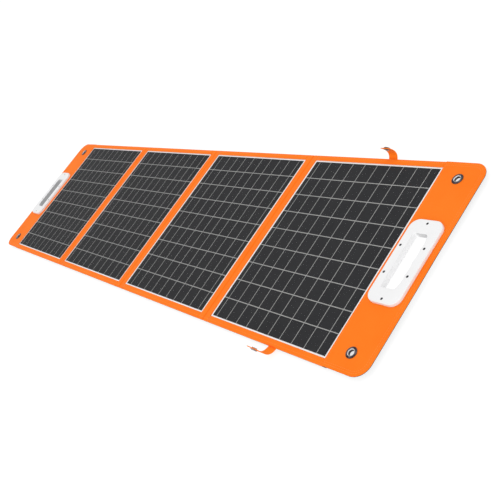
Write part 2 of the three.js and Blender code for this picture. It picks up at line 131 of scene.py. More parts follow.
class Graph:
    """A new node material: its object-space coordinates, its shader and the links between them."""

    def __init__(self, name, scale=(1, 1, 1)):
        self.material = bpy.data.materials.new(name)
        self.material.use_nodes = True
        self.tree = self.material.node_tree
        self.shader = self.tree.nodes["Principled BSDF"]
        place = self.add("ShaderNodeTexCoord")
        mapping = self.add("ShaderNodeMapping", Scale=scale)
        self.link(place.outputs["Object"], mapping.inputs["Vector"])
        self.vector = mapping.outputs["Vector"]

    def add(self, kind, **settings):
        """A new node with some of its inputs or properties set."""
        node = self.tree.nodes.new(kind)
        for key, value in settings.items():
            if key in node.inputs:
                node.inputs[key].default_value = value
            else:
                setattr(node, key, value)
        return node

    def link(self, source, target):
        self.tree.links.new(source, target)

    def set(self, name, value):
        """Gives one of the shader's inputs a value, or links a socket to it."""
        if isinstance(value, bpy.types.NodeSocket):
            self.link(value, self.shader.inputs[name])
        else:
            self.shader.inputs[name].default_value = value

    def maths(self, operation, *terms):
        node = self.add("ShaderNodeMath", operation=operation)
        for index, term in enumerate(terms):
            if isinstance(term, bpy.types.NodeSocket):
                self.link(term, node.inputs[index])
            else:
                node.inputs[index].default_value = term
        return node.outputs[0]

    def scaled(self, source, factor, offset=0.0):
        return self.maths("MULTIPLY_ADD", source, factor, offset)

    def total(self, *parts):
        """Weighted sum of (socket, weight) pairs."""
        result = 0.0
        for source, weight in parts:
            result = self.scaled(source, weight, result)
        return result

    def noise(self, scale, detail):
        node = self.add("ShaderNodeTexNoise", Scale=scale, Detail=detail)
        self.link(self.vector, node.inputs["Vector"])
        return node.outputs["Fac"]

    def along(self, axis):
        """One of the object-space coordinates."""
        split = self.add("ShaderNodeSeparateXYZ")
        self.link(self.vector, split.inputs[0])
        return split.outputs[axis]

    def wave(self, axis, pitch):
        """Even ridges along an axis, from -1 to 1."""
        return self.maths("SINE", self.scaled(self.along(axis), 2 * math.pi / pitch))

    def colour(self, tone, stops):
        """Base colour from a tone, through (position, colour) stops."""
        node = self.add("ShaderNodeValToRGB")
        elements = node.color_ramp.elements
        while len(elements) < len(stops):
            elements.new(0.5)
        for element, (position, colour) in zip(elements, stops):
            element.position = position
            element.color = (*colour, 1)
        self.link(tone, node.inputs["Fac"])
        self.set("Base Color", node.outputs["Color"])

    def bump(self, height, strength, distance):
        node = self.add("ShaderNodeBump", Strength=strength, Distance=distance)
        self.link(height, node.inputs["Height"])
        self.set("Normal", node.outputs["Normal"])


def cloth_material(name, dark, light, pitch, roughness, sheen, relief):
    """Plain weave, in which the threads of each direction rise in turn, with slow patches and fine fuzz."""
    graph = Graph(name)
    crossed = graph.maths("MULTIPLY", graph.wave("X", pitch), graph.wave("Y", pitch))
    threads = graph.scaled(crossed, 0.5, 0.5)
    patches = graph.noise(14.0, 4.0)
    fuzz = graph.noise(900.0, 2.0)
    graph.colour(graph.total((patches, 0.6), (fuzz, 0.3), (threads, 0.12)), [(0.25, dark), (0.75, light)])
    graph.set("Roughness", graph.scaled(fuzz, 0.16, roughness - 0.08))
    graph.set("Specular IOR Level", 0.12)
    graph.set("Sheen Weight", sheen)
    graph.set("Sheen Roughness", 0.4)
    graph.bump(graph.total((threads, 1.0), (fuzz, 0.4)), relief, 0.12 * MM)
    return graph.material


def plastic_material(name, low, high, roughness, grain, relief):
    """Moulded plastic with a fine grain."""
    graph = Graph(name)
    fine = graph.noise(grain, 3.0)
    graph.colour(graph.noise(22.0, 3.0), [(0.3, low), (0.7, high)])
    graph.set("Roughness", graph.scaled(fine, 0.12, roughness - 0.06))
    graph.bump(fine, relief, 0.05 * MM)
    return graph.material


def painted_slot_shade_material(name):
    """Handle plastic inside the finger slots, with painted shade: light towards the panel, greyer on the
    scalloped side.
    """
    graph = Graph(name)
    away = graph.maths("ABSOLUTE", graph.along("X"))
    middle = middle_of("right_handle_front").x
    across = graph.scaled(away, 1 / SLOT.width, 0.5 - middle / SLOT.width)
    patches = graph.noise(60.0, 3.0)
    # painted shade: darker the further across the slot towards its scalloped side
    graph.colour(graph.total((across, 1.0), (patches, 0.06)), SLOT_SHADE_TONES)
    graph.set("Roughness", 0.6)
    graph.bump(patches, 0.1, 0.05 * MM)
    return graph.material


def metal_material(name, low, high, roughness, wear_and_glint_scale):
    graph = Graph(name, (1, 1, 0.3))
    # the blotches are wear on ribbon and screws, and painted reflections and glints on the nickel and snaps
    wear_and_painted_glints = graph.noise(wear_and_glint_scale, 4.0)
    graph.colour(wear_and_painted_glints, [(0.35, low), (0.65, high)])
    graph.set("Roughness", graph.scaled(wear_and_painted_glints, 0.2, roughness - 0.1))
    graph.set("Metallic", 1.0)
    graph.bump(wear_and_painted_glints, 0.15, 0.02 * MM)
    return graph.material


def cell_material(name, dark, light):
    """Silicon: a nearly even charcoal with the finest of printed lines across it."""
    graph = Graph(name)
    lines = graph.scaled(graph.wave("Y", PRINTED_LINE_PITCH), 0.5, 0.5)
    patches = graph.noise(30.0, 3.0)
    graph.colour(graph.total((lines, 0.12), (patches, 0.8)), [(0.25, dark), (0.8, light)])
    graph.set("Roughness", graph.scaled(patches, 0.1, 0.42))
    graph.set("Specular IOR Level", 0.02)
    graph.bump(lines, 0.08, 0.03 * MM)
    return graph.material


def film_material(name):
    """Clear film with a fine dimpled face."""
    graph = Graph(name)
    voronoi = graph.add("ShaderNodeTexVoronoi", Scale=1100.0)
    graph.link(graph.vector, voronoi.inputs["Vector"])
    dimples = voronoi.outputs["Distance"]
    graph.set("Base Color", (0.004, 0.004, 0.005, 1))
    graph.set("Alpha", 0.015)
    graph.set("Specular IOR Level", 0.1)
    graph.set("Roughness", graph.scaled(dimples, 0.15, 0.4))
    graph.bump(dimples, 0.04, 0.01 * MM)
    return graph.material


def floor_material(name):
    """A pale table lit from within, which takes most of the shadow away."""
    graph = Graph(name)
    graph.colour(graph.noise(6.0, 3.0), [(0.3, (0.27, 0.27, 0.27)), (0.7, (0.29, 0.29, 0.29))])
    graph.set("Roughness", 0.9)
    graph.set("Emission Color", (1, 1, 1, 1))
    graph.set("Emission Strength", 0.78)
    return graph.material


ORANGE = cloth_material("orange_cloth", (0.95, 0.172, 0.004), (1, 0.212, 0.012), 0.75 * MM, 0.72, 0.04, 0.35)
DARK = cloth_material("dark_cloth", (0.018, 0.0185, 0.02), (0.034, 0.035, 0.038), 0.9 * MM, 0.85, 0.08, 0.5)
THREAD_ORANGE = cloth_material("orange_thread", (0.95, 0.25, 0.03), (1, 0.34, 0.07), 0.3 * MM, 0.6, 0.2, 0.3)
THREAD_DARK = cloth_material("dark_thread", (0.04, 0.04, 0.042), (0.07, 0.07, 0.073), 0.3 * MM, 0.6, 0.2, 0.3)
WEBBING = cloth_material("webbing", (1.0, 0.19, 0.004), (1.0, 0.25, 0.01), 1.5 * MM, 0.7, 0.1, 0.6)
BOARD = plastic_material("core_board", (0.24, 0.23, 0.21), (0.3, 0.29, 0.27), 0.75, 500.0, 0.3)
WHITE_SHEET = plastic_material("white_laminate", (0.9, 0.91, 0.91), (0.95, 0.955, 0.955), 0.45, 700.0, 0.1)
CELLS = cell_material("silicon", (0.0305, 0.0308, 0.033), (0.0365, 0.0368, 0.039))
RIBBON = metal_material("tinned_ribbon", (0.4, 0.4, 0.39), (0.47, 0.47, 0.46), 0.6, 300.0)
FILM = film_material("clear_film")
HANDLE = plastic_material("handle_plastic", (0.83, 0.83, 0.835), (0.86, 0.86, 0.865), 0.36, 900.0, 0.08)
SLOT_PAINTED_SHADE = painted_slot_shade_material("slot_plastic_painted_shade")
SCREW = metal_material("screw_steel", (0.05, 0.05, 0.056), (0.1, 0.1, 0.11), 0.4, 1500.0)
# dark base with blotches that paint in dark reflections and glints on the metal
NICKEL_PAINTED_REFLECTIONS = metal_material("nickel", (0.03, 0.018, 0.023), (0.13, 0.11, 0.12), 0.3, 170.0)
# blotches from near black to pale paint in dark reflections and glints on the snaps
SNAP_PAINTED_GLINTS = metal_material("snap_metal_painted_glints", (0.02, 0.015, 0.018), (0.5, 0.46, 0.47), 0.26, 330.0)
# a lighter copy of the nickel, painted as a highlight on the eyelets' inner slope
EYELET_PAINTED_HIGHLIGHT = metal_material("eyelet_painted_highlight", (0.3, 0.28, 0.29), (0.8, 0.78, 0.79), 0.3, 220.0)
BOX = plastic_material("box_plastic", (0.012, 0.012, 0.013), (0.02, 0.02, 0.022), 0.5, 1800.0, 0.45)


# ------ mesh helpers


def finish_mesh(name, bm, materials, smooth_angle=35):
    bmesh.ops.remove_doubles(bm, verts=bm.verts, dist=0.001 * MM)
    bmesh.ops.recalc_face_normals(bm, faces=bm.faces)
    mesh = bpy.data.meshes.new(name)
    bm.to_mesh(mesh)
    bm.free()
    for material in materials:
        mesh.materials.append(material)
    mesh.shade_smooth()
    mesh.set_sharp_from_angle(angle=math.radians(smooth_angle))
    obj = bpy.data.objects.new(name, mesh)
    bpy.context.scene.collection.objects.link(obj)
    return obj


def apply_modifiers(obj):
    graph = bpy.context.evaluated_depsgraph_get()
    mesh = bpy.data.meshes.new_from_object(obj.evaluated_get(graph))
    obj.modifiers.clear()
    obj.data = mesh


def thicken(obj, thickness):
    """Gives a sheet its thickness, behind its faces; it waits for apply_modifiers."""
    solid = obj.modifiers.new("thickness", "SOLIDIFY")
    solid.thickness = thickness
    solid.offset = -1.0


def arc(centre, radius, start, end, steps):
    """Points on a circle from one angle to another, in degrees."""
    angles = [math.radians(start + (end - start) * step / steps) for step in range(steps + 1)]
    return [(centre[0] + radius * math.cos(a), centre[1] + radius * math.sin(a)) for a in angles]


def rounded_outline(x0, x1, y0, y1, radius, steps):
    return [
        *arc((x1 - radius, y0 + radius), radius, -90, 0, steps),
        *arc((x1 - radius, y1 - radius), radius, 0, 90, steps),
        *arc((x0 + radius, y1 - radius), radius, 90, 180, steps),
        *arc((x0 + radius, y0 + radius), radius, 180, 270, steps),
    ]


def rectangle(x0, x1, y0, y1):
    return [(x0, y0), (x1, y0), (x1, y1), (x0, y1)]


def circle_outline(centre, radius, steps):
    return arc(centre, radius, 0, 360 * (steps - 1) / steps, steps - 1)


def curve_between(start, handle, end, steps=10):
    """A curve with one handle, without its last point."""
    points = []
    for step in range(steps):
        t = step / steps
        a, b, c = (1 - t) ** 2, 2 * t * (1 - t), t * t
        points.append(tuple(a * p + b * q + c * r for p, q, r in zip(start, handle, end)))
    return points


def slot_outline(grow):
    """The finger slot about its own middle: straight towards the panel, scalloped on the outer side."""
    inner = -SLOT.width / 2 - grow
    outer = SLOT.width / 2 - SLOT.scallop + grow
    end = SLOT.depth / 2 + grow
    small = SLOT.inner + grow
    large = SLOT.outer + grow
    pitch = SLOT.pitch
    points = curve_between((outer - large, -end), (outer, -end), (outer, -end + large))
    cusps = [-end + large, -pitch, 0, pitch, end - large]
    for low, high in zip(cusps, cusps[1:]):
        bulge = (outer + 2 * SLOT.scallop, (low + high) / 2)
        points += curve_between((outer, low), bulge, (outer, high))
    points += curve_between((outer, end - large), (outer, end), (outer - large, end))
    points += curve_between((inner + small, end), (inner, end), (inner, end - small))
    points += curve_between((inner, -end + small), (inner, -end), (inner + small, -end))
    return points


def slot_at(end, grow=0.0):
    """The finger slot's outline in a flap, turned half round for the left end."""
    middle, sign = middle_of(f"{end}_handle_front"), ENDS[end][1]
    return [(middle.x + sign * x, middle.y + sign * y) for x, y in slot_outline(grow)]


def inset_loop(points, distance):
    """A closed loop moved to its left by a distance: inwards when it runs anticlockwise."""
    moved = []
    count = len(points)
    for index, (x, y) in enumerate(points):
        before = Vector(points[index - 1])
        after = Vector(points[(index + 1) % count])
        along = after - before
        if along.length < 1e-9:
            moved.append((x, y))
            continue
        along.normalize()
        moved.append((x - along.y * distance, y + along.x * distance))
    return moved


def new_ring(bm, points, z):
    return [bm.verts.new((x, y, z)) for x, y in points]


def join_rings(bm, rings):
    """Walls between closed rings that have the same number of points."""
    for low, high in zip(rings, rings[1:]):
        for index in range(len(low)):
            after = (index + 1) % len(low)
            bm.faces.new((low[index], low[after], high[after], high[index]))


def join_rows(bm, rows):
    """Faces between open rows that have the same number of points."""
    for first, second in zip(rows, rows[1:]):
        for index in range(len(first) - 1):
            bm.faces.new((first[index], first[index + 1], second[index + 1], second[index]))


def loop_edges(bm, loop):
    return [bm.edges.get((loop[i - 1], loop[i])) for i in range(len(loop))]


def fill_between(bm, edges):
    """Flat faces inside an outline and round its holes."""
    bmesh.ops.triangle_fill(bm, use_beauty=True, use_dissolve=False, edges=edges)


def plate(bm, outline, holes, profile):
    """A closed plate. profile lists (inset, z) from its lower face round its rim to its upper face."""
    first, last = [], []
    for points, sign in [(outline, 1), *((hole, -1) for hole in holes)]:
        rings = [new_ring(bm, inset_loop(points, sign * inset), z) for inset, z in profile]
        join_rings(bm, rings)
        first.append(rings[0])
        last.append(rings[-1])
    for loops in (first, last):
        fill_between(bm, [edge for loop in loops for edge in loop_edges(bm, loop)])


def rim_profile(low, high, radius, steps, lower=0.0):
    """Rim of a plate with a rounded upper edge, and optionally a rounded lower one."""
    quarter = [math.pi / 2 * (step + 1) / steps for step in range(steps)]
    profile = [(lower, low)]
    for a in quarter if lower else ():
        profile.append((lower - lower * math.sin(a), low + lower - lower * math.cos(a)))
    for a in (0, *quarter):
        profile.append((radius - radius * math.cos(a), high - radius + radius * math.sin(a)))
    return profile


def turned(bm, centre, profile, steps):
    """Turns a list of (radius, height) about an upright axis through centre."""
    join_rings(bm, [new_ring(bm, circle_outline(centre.xy, radius, steps), z) for radius, z in profile])


def stitch_run(bm, start, end, normal=(0, 0, 1)):
    """A row of raised stitches between two points of a surface."""
    start, end, normal = Vector(start), Vector(end), Vector(normal).normalized()
    span = (end - start).length
    count = max(1, round(span / (STITCH + STITCH_GAP)))
    along = (end - start).normalized()
    across = along.cross(normal)
    length = span / count - STITCH_GAP
    for index in range(count):
        first = start + along * (index * span / count + STITCH_GAP / 2)
        rings = []
        for share in (0.0, 0.2, 0.5, 0.8, 1.0):
            rise = THREAD * (0.9 * math.sin(math.pi * share) - 0.35)
            radius = THREAD * (0.45 if share in (0.0, 1.0) else 1.0)
            middle = first + along * length * share + normal * rise
            ring = []
            for side in range(THREAD_SIDES):
                angle = 2 * math.pi * side / THREAD_SIDES
                spoke = across * math.cos(angle) + normal * math.sin(angle)
                ring.append(bm.verts.new(middle + spoke * radius))
            rings.append(ring)
        join_rings(bm, rings)
        for ring in (rings[0], rings[-1]):
            bm.faces.new(ring)


def ride_in(obj, body, slot, *replaced):
    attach(obj, body)
    if replaced:
        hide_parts(*replaced)


def dress(node, material):
    """Gives a CAD node that stays its material."""
    obj = frame["nodes"][node]
    obj.data.materials.clear()
    obj.data.materials.append(material)
    return obj


def ease_edges(obj, width):
    """Rounds a CAD node's edges a little."""
    bevel = obj.modifiers.new("eased_edges", "BEVEL")
    bevel.width = width
    bevel.segments = 3
    bevel.limit_method = "ANGLE"
    bevel.angle_limit = math.radians(40)
    obj.data.shade_smooth()
    obj.data.set_sharp_from_angle(angle=math.radians(35))


# ------ layout from the frame


def layout(panel):
    """Lines of one panel that its fabric, cells and seams follow."""
    cover_low, cover_high = box(f"panel_{panel}_front_cover")
    film_low, film_high = box(f"panel_{panel}_film")
    return SimpleNamespace(
        left=film_low.x - WINDOW_GAP,
        right=film_high.x + WINDOW_GAP,
        window_near=film_low.y - WINDOW_GAP,
        window_far=film_high.y + WINDOW_GAP,
        near=cover_low.y,
        far=cover_high.y,
        depth=cover_high.y - cover_low.y,
        front=cover_high.z,
        hem=cover_low.z,
        rear=box(f"panel_{panel}_rear_cover")[0].z,
        cells=box(f"panel_{panel}_cells"),
        board=box(f"panel_{panel}_board"),
        ends=(cover_low.x, cover_high.x),
    )


LAYOUT = {panel: layout(panel) for panel in PANELS}
MIDDLE_Y = (LAYOUT[1].near + LAYOUT[1].far) / 2


def fold_line(panel):
    """X of the fold between a panel and the next."""
    return (LAYOUT[panel].right + LAYOUT[panel + 1].left) / 2


def waviness(x, y):
    """Slow unevenness of sewn cloth, up to a third of a millimetre."""
    return 0.1 * MM * (math.sin(41 * x + 2.1) + math.sin(33 * y + 0.6) + math.sin(57 * (x + y)))


# ------ front fabric


def hem_profile(lines, side):
    """(y, z) along the fabric's outer face, from the window round the panel's edge to its rear."""
    edge = lines.near if side < 0 else lines.far
    window = lines.window_near if side < 0 else lines.window_far
    top = lines.front
    start = window + side * 1 * MM
    end = edge - side * HEM_RADIUS
    points = [(window, top - RIM_SINK), (window + side * 0.3 * MM, top - 0.12 * MM), (start, top)]
    for step in range(1, 7):
        share = step / 6
        dip = SEAM_DIP * math.exp(-(((share - 0.55) / 0.12) ** 2))
        points.append((start + (end - start) * share, top - dip))
    for angle in (20, 40, 60, 80, 90):
        turn = math.radians(angle)
        points.append((end + side * HEM_RADIUS * math.sin(turn), top - HEM_RADIUS * (1 - math.cos(turn))))
    points.append((edge, lines.hem + 0.8 * MM))
    points.append((edge - side * 0.35 * MM, lines.hem + 0.15 * MM))
    return points


def seam_line(lines, side):
    """Y of the seam that runs along the hem."""
    return hem_profile(lines, side)[6][0]


def grid_sheet(name, stations, profile_at, material, thickness=CLOTH, up=True):
    """Cloth with a row of points for each station along X, thickened behind its outer face, up or down."""
    bm = bmesh.new()
    join_rows(bm, [[bm.verts.new(point) for point in profile_at(x)] for x in stations])
    obj = finish_mesh(name, bm, [material])
    total = sum((face.normal.z * face.area for face in obj.data.polygons), 0.0)
    if (total > 0) != up:
        obj.data.flip_normals()
    thicken(obj, thickness)
    apply_modifiers(obj)
    return obj


def spread(low, high, count):
    return [low + (high - low) * step / count for step in range(count + 1)]


def make_band(panel, side):
    """Orange fabric beside one long edge of a panel's window."""
    lines, body = LAYOUT[panel], f"panel_{panel}"
    label = "near" if side < 0 else "far"
    profile = hem_profile(lines, side)

    def points(x):
        return [(x, y, z + (waviness(x, y) * 0.4 if 2 < i < 9 else 0)) for i, (y, z) in enumerate(profile)]

    stations = spread(lines.left, lines.right, 60)
    obj = grid_sheet(f"{body}_{label}_band", stations, points, ORANGE)
    ride_in(obj, body, "orange_fabric", f"{body}_front_cover")

    bm = bmesh.new()
    y = seam_line(lines, side)
    z = lines.front - 0.12 * MM
    stitch_run(bm, (lines.left, y, z), (lines.right, y, z))
    stitches = finish_mesh(f"{body}_{label}_stitching", bm, [THREAD_ORANGE])
    ride_in(stitches, body, "orange_fabric")


def across_profile(lines):
    """Whole outer face across a panel where it has no window: near hem, top, far hem."""
    near = hem_profile(lines, -1)[3:]
    far = hem_profile(lines, 1)[3:]
    top = [(y, lines.front) for y in spread(near[0][0], far[0][0], 60)[1:-1]]
    return list(reversed(near)) + top + far


def crease(x, middle):
    """How far the fabric is pinched in at the fold, from its distance to the fold line."""
    return CREASE_DEPTH * math.exp(-(((x - middle) / CREASE_WIDTH) ** 2))


def strip_stations(low, high, middle):
    """Stations across a fold, close together where the fabric bends."""
    bend = spread(middle - BEND_REACH, middle + BEND_REACH, 26)
    pinch = spread(middle - 2 * CREASE_WIDTH, middle + 2 * CREASE_WIDTH, 16)
    outer = [x for x in bend if abs(x - middle) > 2 * CREASE_WIDTH + 0.3 * MM]
    return [low, (low + bend[0]) / 2, *sorted(outer + pinch), (high + bend[-1]) / 2, high]


def blend_over(obj):
    """Bakes a piece's placement into its mesh."""
    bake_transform(obj)


def make_front_strip(first, second):
    """Orange fabric that crosses one fold, between the white lines of two panels."""
    lines = LAYOUT[first]
    middle = fold_line(first)
    profile = across_profile(lines)
    low, high = LAYOUT[first].right, LAYOUT[second].left

    def points(x):
        roll = RIM_SINK * max(0.0, 1 - min(x - low, high - x) / (1 * MM)) ** 2
        made = []
        for y, z in profile:
            on_top = z > lines.front - 0.3 * MM
            in_window = lines.window_near < y < lines.window_far
            sink = crease(x, middle) * (1.0 if on_top else 0.3)
            if on_top:
                sink += (roll if in_window else 0) - waviness(x, y) * 0.5
            made.append((x, y, z - sink))
        return made

    rolled = (low + 0.4 * MM, low + 1 * MM, high - 0.4 * MM, high - 1 * MM)
    stations = sorted({*strip_stations(low, high, middle), *rolled})
    obj = grid_sheet(f"fold_{first}_{second}_front_strip", stations, points, ORANGE)
    blend_over(obj)

    bm = bmesh.new()
    z = lines.front - 0.08 * MM
    for x in (low + WINDOW_SEAM, high - WINDOW_SEAM):
        stitch_run(bm, (x, seam_line(lines, -1), z), (x, seam_line(lines, 1), z))
    for side in (-1, 1):
        y = seam_line(lines, side)
        stitch_run(bm, (low, y, z - 0.05 * MM), (high, y, z - 0.05 * MM))
    stitches = finish_mesh(f"fold_{first}_{second}_front_stitching", bm, [THREAD_ORANGE])
    blend_over(stitches)


# ------ end flaps


def flap_inner(end):
    """Distance from the object's middle to the line where a flap starts, beside its panel's window."""
    panel, sign = ENDS[end]
    lines = LAYOUT[panel]
    return abs(lines.right if sign > 0 else lines.left)


def flap_line(end, inner, inset=0.0, steps=12):
    """A line round an end flap's rounded free corners, anticlockwise on the right, inset from its edge."""
    panel, sign = ENDS[end]
    lines = LAYOUT[panel]
    corner_x = abs(lines.ends[sign > 0]) - FLAP_CORNER
    half = lines.depth / 2
    radius = FLAP_CORNER - inset
    points = [(inner, -half + inset)]
    points += arc((corner_x, -half + FLAP_CORNER), radius, -90, 0, steps)
    points += arc((corner_x, half - FLAP_CORNER), radius, 0, 90, steps)
    points += [(inner, half - inset)]
    return [(sign * x, MIDDLE_Y + sign * y) for x, y in points]


@functools.cache
def grommet_middles(end):
    return [middle_of(f"{end}_grommet_eyelet_{number}") for number in (1, 2)]


def flap_holes(end):
    eyes = [circle_outline(eye.xy, EYE_HOLE, 28) for eye in grommet_middles(end)]
    return [slot_at(end, CLOTH_HOLE_GAP), *eyes]


def cut_into_squares(bm, low, high, size):
    """Cuts flat faces along a square grid, so that they can take a gentle unevenness."""
    for axis in (0, 1):
        normal = Vector((1, 0, 0)) if axis == 0 else Vector((0, 1, 0))
        count = int((high[axis] - low[axis]) / size)
        for step in range(1, count + 1):
            place = Vector((0, 0, 0))
            place[axis] = low[axis] + step * size
            geometry = bm.verts[:] + bm.edges[:] + bm.faces[:]
            bmesh.ops.bisect_plane(bm, geom=geometry, dist=1e-7, plane_co=place, plane_no=normal)


def flap_rise(end, x, y):
    """Shape of the flap's front cloth: slow waves, flat under the handle and round the eyes."""
    middle = middle_of(f"{end}_handle_front")
    beside = max(abs(x - middle.x) - 34 * MM, abs(y - middle.y) - 80 * MM)  # from the handle's outline
    free = max(0.0, min(1.0, beside / FLAP_STEP))
    rise = free * (waviness(x, y) + 0.35 * MM * math.sin(19 * y + 0.4) * math.sin(35 * abs(x)))
    for eye in grommet_middles(end):
        away = math.hypot(x - eye.x, y - eye.y)
        rise *= min(1.0, max(0.0, (away - 10 * MM) / FLAP_STEP))
    return rise


def make_flap_sheet(end, side, inner, profile, square, wave, material):
    """One of a flap's two fabrics, with its hidden holes: it stands for a cover and rests on the other."""
    panel = ENDS[end][0]
    lines = LAYOUT[panel]
    outline = flap_line(end, inner)
    low, high = min(outline), max(outline)
    bm = bmesh.new()
    plate(bm, outline, flap_holes(end), profile)
    cut_into_squares(bm, (low[0], lines.near), (high[0], lines.far), square)
    for vert in bm.verts:
        vert.co.z += flap_rise(end, vert.co.x, vert.co.y) * wave
    obj = finish_mesh(f"{end}_flap_{side}_fabric", bm, [material])
    front = side == "front"
    cover = f"panel_{panel}_front_cover" if front else f"{end}_flap_rear_cover"
    ride_in(obj, f"panel_{panel}", "orange_fabric" if front else "dark_fabric", cover)


def make_flap_front(end):
    """Orange fabric of an end flap."""
    panel = ENDS[end][0]
    top = LAYOUT[panel].front
    profile = rim_profile(top - CLOTH, top, FLAP_RIM, 3)
    make_flap_sheet(end, "front", flap_inner(end) - FLAP_RIM, profile, 9 * MM, 1.0, ORANGE)


def make_flap_stitching(end):
    """Two rows of stitches round the flap, and one beside the window."""
    panel, sign = ENDS[end]
    lines = LAYOUT[panel]
    bm = bmesh.new()
    seams = [flap_line(end, flap_inner(end), inset, 8) for inset in FLAP_SEAMS]
    x = sign * (flap_inner(end) + WINDOW_SEAM)
    seams.append([(x, lines.near + FLAP_SEAMS[0]), (x, lines.far - FLAP_SEAMS[0])])
    for points in seams:
        for start, finish in zip(points, points[1:]):
            stitch_over(bm, end, start, finish, lines.front)
    obj = finish_mesh(f"{end}_flap_stitching", bm, [THREAD_ORANGE])
    ride_in(obj, f"panel_{panel}", "orange_fabric")


def stitch_over(bm, end, start, finish, top):
    """A straight seam that follows the flap's waves, in short runs."""
    count = max(1, round(math.dist(start, finish) / (18 * MM)))
    places = zip(spread(start[0], finish[0], count), spread(start[1], finish[1], count))
    stops = [(x, y, top + flap_rise(end, x, y)) for x, y in places]
    for first, second in zip(stops, stops[1:]):
        stitch_run(bm, first, second)


# ------ rear fabric


def rear_row(lines, x, up):
    """Points across the rear fabric at one station, rolled up at both long edges."""
    near, far, base = lines.near, lines.far, lines.rear
    made = [(x, near, base + CLOTH + up), (x, near + 0.6 * MM, base + 0.2 * MM + up)]
    for y in spread(near + 2 * MM, far - 2 * MM, 60):
        made.append((x, y, base + up + abs(waviness(x, y)) * 0.3))
    return made + [(x, far - 0.6 * MM, base + 0.2 * MM + up), (x, far, base + CLOTH + up)]


def make_rear(panel):
    """Dark rear fabric of one panel, with a seam round it."""
    lines, body = LAYOUT[panel], f"panel_{panel}"
    low, high = rear_ends(panel)

    def points(x):
        return rear_row(lines, x, 0.0)

    name = f"{body}_rear_fabric"
    obj = grid_sheet(name, spread(low, high, 50), points, DARK, REAR_CLOTH, up=False)
    ride_in(obj, body, "dark_fabric", f"{body}_rear_cover")

    bm = bmesh.new()
    board_low, board_high = lines.board
    outset = 3 * MM
    x0, x1 = max(low, board_low.x - outset), min(high, board_high.x + outset)
    corners = rectangle(x0, x1, lines.near + REAR_SEAM, lines.far - REAR_SEAM)
    for start, finish in zip(corners, [*corners[1:], corners[0]]):
        stitch_run(bm, (*start, lines.rear), (*finish, lines.rear), (0, 0, -1))
    stitches = finish_mesh(f"{body}_rear_stitching", bm, [THREAD_DARK])
    ride_in(stitches, body, "dark_fabric")


def rear_ends(panel):
    """Where a panel's own rear fabric starts and stops along X."""
    low = fold_line(panel - 1) + REAR_FOLD if panel > 1 else box("panel_1_rear_cover")[0].x
    high = fold_line(panel) - REAR_FOLD if panel < 4 else box("panel_4_rear_cover")[1].x
    return low, high


def make_rear_strip(first, second):
    """Dark rear fabric that crosses one fold."""
    lines = LAYOUT[first]
    middle = fold_line(first)
    low, high = middle - REAR_FOLD, middle + REAR_FOLD

    def points(x):
        return rear_row(lines, x, crease(x, middle) * 0.8)

    name = f"fold_{first}_{second}_rear_strip"
    obj = grid_sheet(name, spread(low, high, 40), points, DARK, REAR_CLOTH, up=False)
    blend_over(obj)


def make_flap_rear(end):
    """Dark fabric behind the flap, with a sloping part that joins it to the panel's rear fabric."""
    panel, sign = ENDS[end]
    lines = LAYOUT[panel]
    rear_low, rear_high = box(f"{end}_flap_rear_cover")
    inner = min(abs(rear_low.x), abs(rear_high.x))
    profile = rim_profile(rear_low.z, rear_high.z - 0.05 * MM, 0.3 * MM, 2, 0.3 * MM)
    make_flap_sheet(end, "rear", inner, profile, 12 * MM, 0.8, DARK)

    start = abs(rear_ends(panel)[sign > 0]) - 0.5 * MM
    finish = start + FLAP_STEP

    def points(x):
        share = max(0.0, min(1.0, (abs(x) - start) / (finish - start)))
        ease = share * share * (3 - 2 * share)
        z = lines.rear + 0.1 * MM + ease * (rear_low.z - 0.15 * MM - lines.rear)
        return [(x, y, z) for y in spread(lines.near + 0.2 * MM, lines.far - 0.2 * MM, 24)]

    stations = [sign * x for x in spread(start, finish, 14)]
    slope = grid_sheet(f"{end}_flap_rear_slope", stations, points, DARK, 0.7 * MM, up=False)
    ride_in(slope, f"panel_{panel}", "dark_fabric")


# ------ cells


def slab(bm, x0, x1, y0, y1, z0, z1, ease=0.0):
    """A flat rectangular plate. ease is the width of its upper edge's bevel."""
    levels = [(0.0, z0), (0.0, z1 - ease)] + ([(ease, z1)] if ease else [])
    rings = []
    for inset, z in levels:
        rings.append(new_ring(bm, rectangle(x0 + inset, x1 - inset, y0 + inset, y1 - inset), z))
    join_rings(bm, rings)
    bm.faces.new(list(reversed(rings[0])))
    bm.faces.new(rings[-1])


def row_lines(lines):
    """Y of the lines between the rows of cells."""
    near, far = lines.cells[0].y, lines.cells[1].y
    middle = (near + far) / 2
    return [middle + (index - (ROWS - 2) / 2) * ROW_PITCH for index in range(ROWS - 1)]


def busbar_lines(panel, lines):
    first = lines.cells[0].x - BORDER + FIRST_BUSBAR[panel]
    return [first + index * BUSBAR_PITCH for index in range(BUSBARS)]


